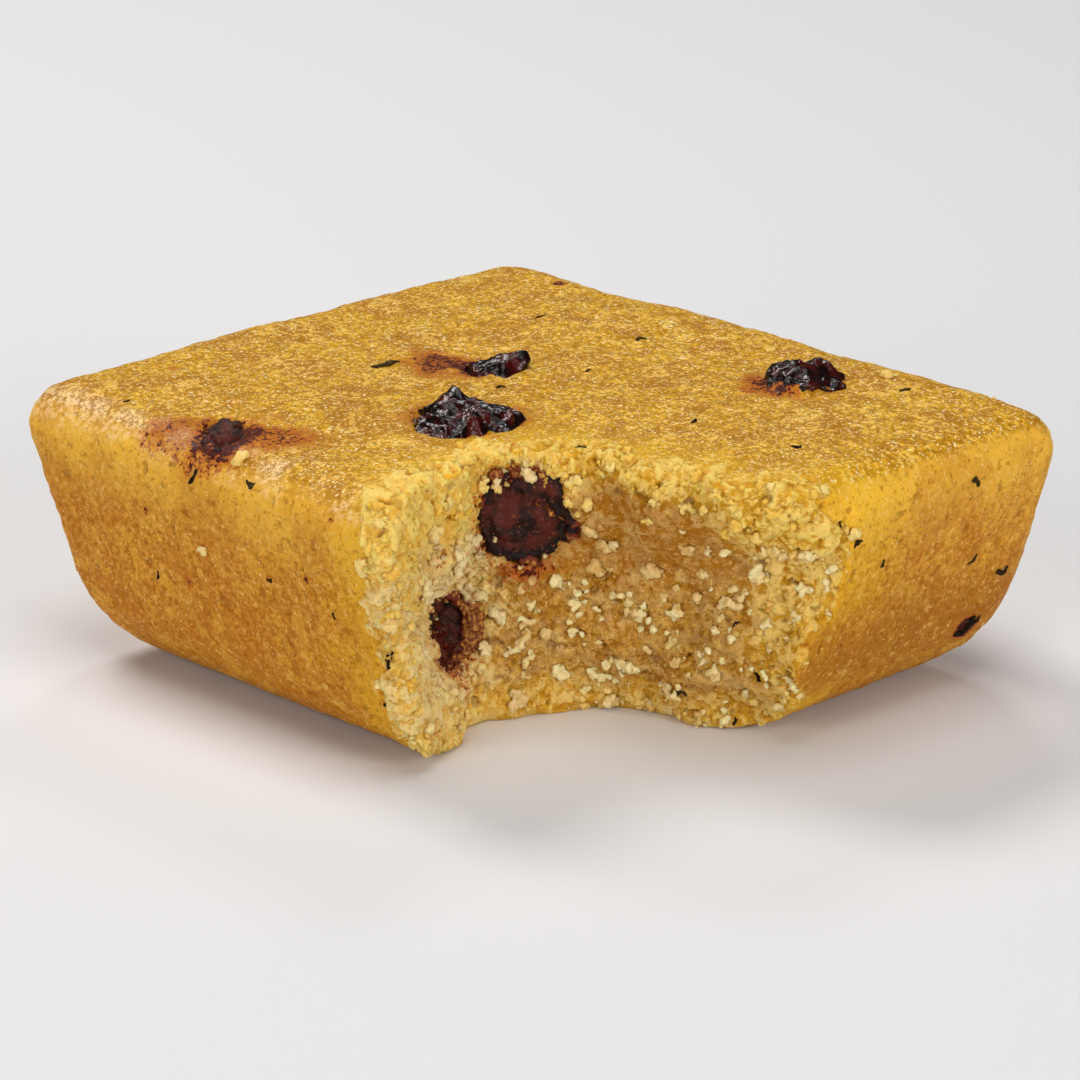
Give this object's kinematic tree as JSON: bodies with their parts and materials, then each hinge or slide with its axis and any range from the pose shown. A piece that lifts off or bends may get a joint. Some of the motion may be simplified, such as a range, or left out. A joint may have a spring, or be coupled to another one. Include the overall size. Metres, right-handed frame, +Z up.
{
  "type": "chocolate chip blondie bite",
  "caption": "Small square-cornered baked blondie bar with drafted sides, half-sunk chocolate chips in its top and one corner bitten off, showing the pale crumb inside.",
  "frame": {"origin": "on the flat underside, below the middle of the bar's bounding box", "axes": "+Z up out of the baked top; +X along the longer side of the bar, so that the bitten corner is the one at +X, -Y"},
  "size_m": [0.0545, 0.0477, 0.0208],
  "materials": {
    "baked_crumb": "golden ochre baked crust, lightly oily on top and granular down the sides, with pale khaki crumb where it is bitten",
    "chocolate": "half-melted dark chocolate, glossy and wrinkled on top, duller where it is bitten through",
    "pale_crumb": "loose pale crumbs on the bitten face",
    "dark_fleck": "dry dark green and brown flecks in the crumb"
  },
  "bodies": {
    "root": {"blondie": "baked_crumb", "chip_top_left": "chocolate", "chip_top_back": "chocolate", "chip_top_front": "chocolate", "chip_top_right": "chocolate", "chip_bite_large": "chocolate", "chip_bite_small": "chocolate"}
  },
  "joints": []
}
